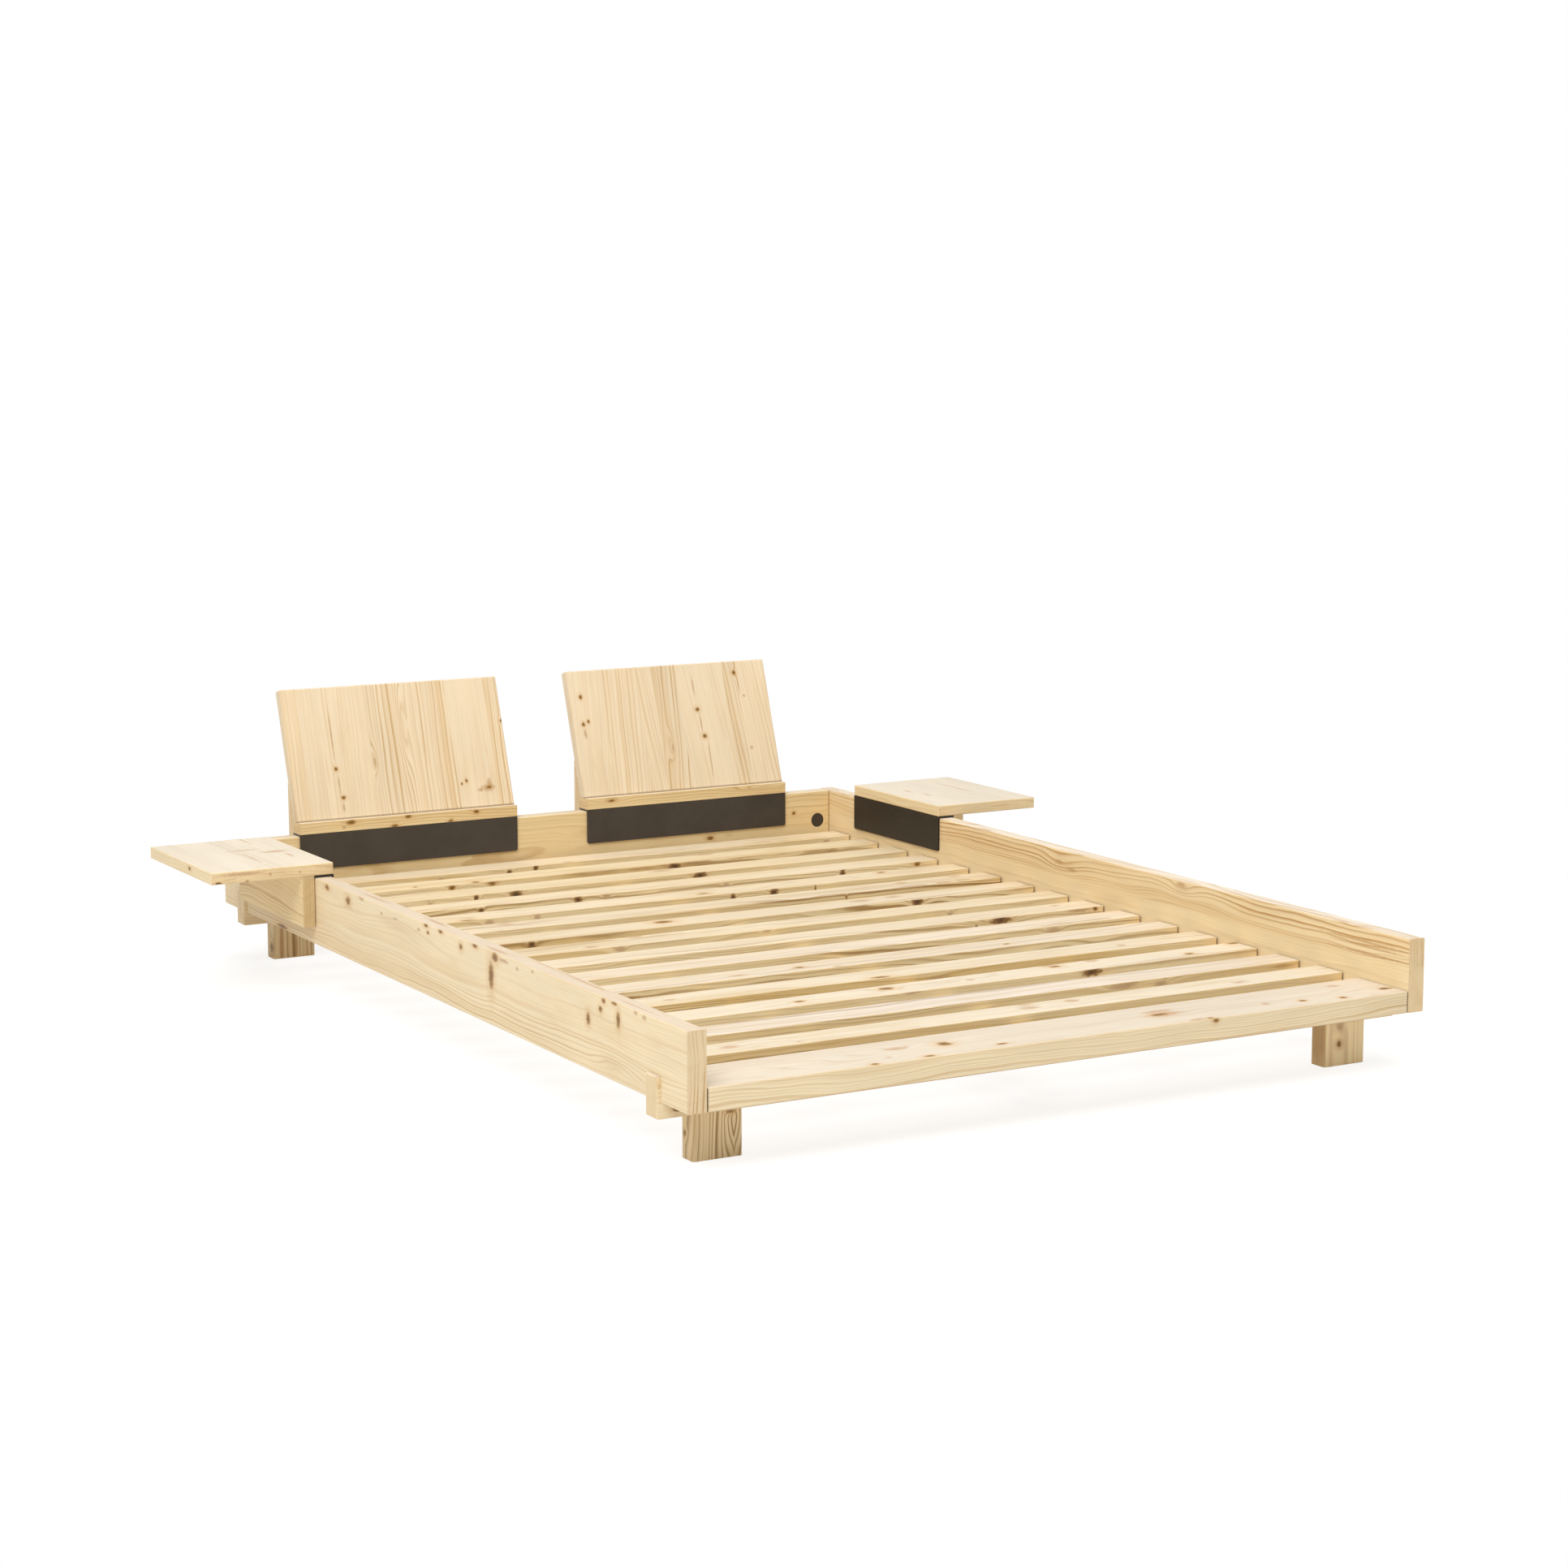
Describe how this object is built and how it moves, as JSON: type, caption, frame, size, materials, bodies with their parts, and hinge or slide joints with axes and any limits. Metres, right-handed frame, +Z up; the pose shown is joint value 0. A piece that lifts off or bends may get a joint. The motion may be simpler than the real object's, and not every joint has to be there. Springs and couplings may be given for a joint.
{
  "type": "bed frame",
  "caption": "Low platform bed frame of knotty pine with cross slats on block legs, and wooden side tables and leaning backrests that hook over the boards on black steel saddles.",
  "frame": {"origin": "on the floor, under the middle of the whole frame's bounding box", "axes": "+X across the bed towards its right side as seen from the foot end, +Y along the bed towards the headboard, +Z up"},
  "size_m": [1.8914, 2.121, 0.5325],
  "materials": {
    "pine_along": "clear satin pine, grain along the bed",
    "pine_across": "clear satin pine, grain across the bed",
    "pine_upright": "clear satin pine, upright grain",
    "pine_legs": "clear satin pine, upright grain, darker bands",
    "dowel_wood": "plain hardwood",
    "black_steel": "satin powder coat, brown black",
    "zinc_steel": "bright zinc",
    "black_plastic": "matte",
    "webbing": "woven tape"
  },
  "bodies": {
    "frame": {"side_board_left": "pine_along", "side_board_right": "pine_along", "headboard": "pine_across", "foot_plank": "pine_across", "slat_01": "pine_across", "slat_02": "pine_across", "slat_03": "pine_across", "slat_04": "pine_across", "slat_05": "pine_across", "slat_06": "pine_across", "slat_07": "pine_across", "slat_08": "pine_across", "slat_09": "pine_across", "slat_10": "pine_across", "slat_11": "pine_across", "slat_12": "pine_across", "slat_13": "pine_across", "slat_14": "pine_across", "slat_15": "pine_across", "slat_tapes": "webbing", "ledger_left": "pine_along", "ledger_right": "pine_along", "centre_rail": "pine_along", "rail_hanger": "zinc_steel", "centre_leg": "pine_legs", "beam_foot": "pine_across", "beam_head": "pine_across", "leg_foot_left": "pine_legs", "leg_foot_right": "pine_legs", "leg_head_left": "pine_legs", "leg_head_right": "pine_legs", "corner_studs": "zinc_steel", "corner_washers": "zinc_steel", "corner_nuts": "zinc_steel", "pocket_caps": "black_plastic", "corner_dowels": "dowel_wood", "long_screws": "zinc_steel", "short_screws": "zinc_steel"},
    "table_left": {"table_left_top": "pine_along", "table_left_apron": "pine_along", "table_left_saddle": "black_steel", "table_left_screws": "zinc_steel", "table_left_dowels": "dowel_wood"},
    "table_right": {"table_right_top": "pine_along", "table_right_apron": "pine_along", "table_right_saddle": "black_steel", "table_right_screws": "zinc_steel", "table_right_dowels": "dowel_wood"},
    "backrest_left": {"backrest_left_base": "pine_across", "backrest_left_back": "pine_upright", "backrest_left_apron": "pine_upright", "backrest_left_saddle": "black_steel", "backrest_left_screws": "zinc_steel", "backrest_left_dowels": "dowel_wood"},
    "backrest_right": {"backrest_right_base": "pine_across", "backrest_right_back": "pine_upright", "backrest_right_apron": "pine_upright", "backrest_right_saddle": "black_steel", "backrest_right_screws": "zinc_steel", "backrest_right_dowels": "dowel_wood"}
  },
  "joints": [
    {"name": "table_left_slide", "type": "slide", "parent": "frame", "child": "table_left", "axis": [0, 1, 0], "range_m": [-1.4, 0.03]},
    {"name": "table_right_slide", "type": "slide", "parent": "frame", "child": "table_right", "axis": [0, 1, 0], "range_m": [-1.4, 0.03]},
    {"name": "backrest_left_slide", "type": "slide", "parent": "frame", "child": "backrest_left", "axis": [1, 0, 0], "range_m": [-0.116, 0.08]},
    {"name": "backrest_right_slide", "type": "slide", "parent": "frame", "child": "backrest_right", "axis": [1, 0, 0], "range_m": [-0.08, 0.116]}
  ]
}
